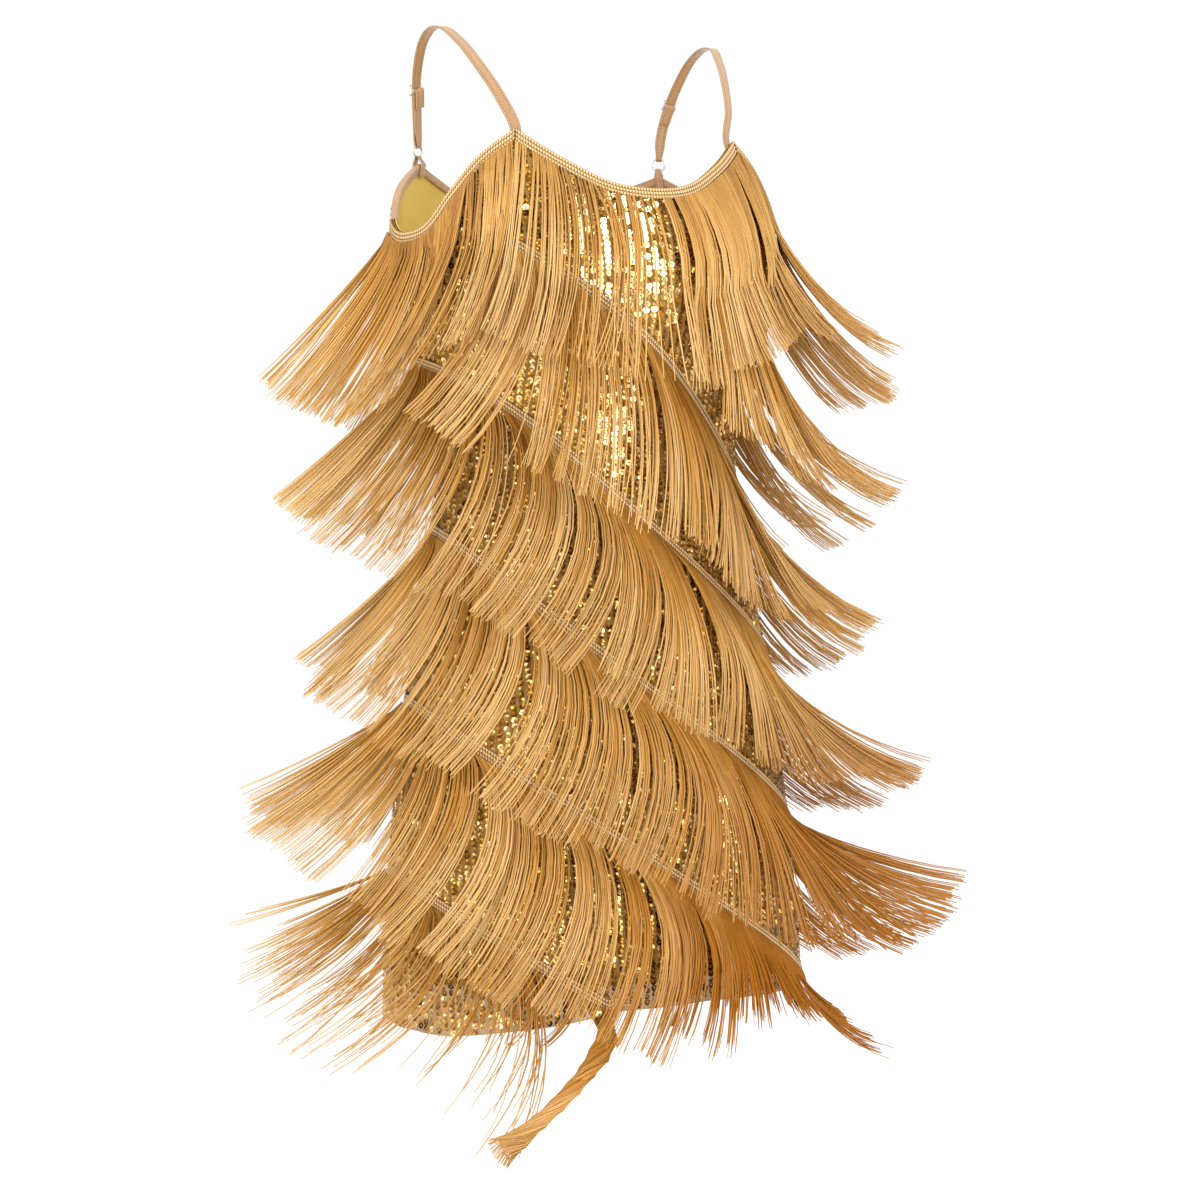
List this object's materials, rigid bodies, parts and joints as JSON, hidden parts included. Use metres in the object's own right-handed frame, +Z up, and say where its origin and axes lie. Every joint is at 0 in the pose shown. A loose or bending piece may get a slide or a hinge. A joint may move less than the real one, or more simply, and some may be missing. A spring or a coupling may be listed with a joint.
{
  "type": "latin dance dress",
  "caption": "Fitted strappy mini dress in sequin cloth, wound with slanting tiers of long fringe, filled out with open neck, armholes and hem.",
  "frame": {"origin": "middle of the line through the tops of the two shoulder straps, where the wearer's shoulders carry the dress", "axes": "+Z up, -Y out of the front, +X to the right as the viewer sees the front"},
  "size_m": [0.5186, 0.368, 0.811],
  "materials": {
    "sequin_cloth": "gold sequins strung in rows on net",
    "lining_knit": "matt olive yellow stretch knit",
    "fringe": "soft gold chainette fringe on a pale braid",
    "elastic": "tan satin faced elastic",
    "ring_metal": "bright ring",
    "slider_plastic": "clear strap slider"
  },
  "bodies": {
    "root": {"shell_front": "sequin_cloth", "shell_back": "sequin_cloth", "lining_front": "lining_knit", "lining_back": "lining_knit", "fringe_neckline": "fringe", "fringe_armhole_left": "fringe", "fringe_armhole_right": "fringe", "fringe_tier_0": "fringe", "fringe_tier_1": "fringe", "fringe_tier_2": "fringe", "fringe_tier_3": "fringe", "fringe_tier_4": "fringe", "fringe_tier_5": "fringe", "binding_back_neck": "elastic", "binding_armhole_left": "elastic", "binding_armhole_right": "elastic", "ring_loop_left": "elastic", "ring_loop_right": "elastic", "strap_left": "elastic", "strap_right": "elastic", "ring_left": "ring_metal", "ring_right": "ring_metal", "slider_left": "slider_plastic", "slider_right": "slider_plastic"}
  },
  "joints": []
}
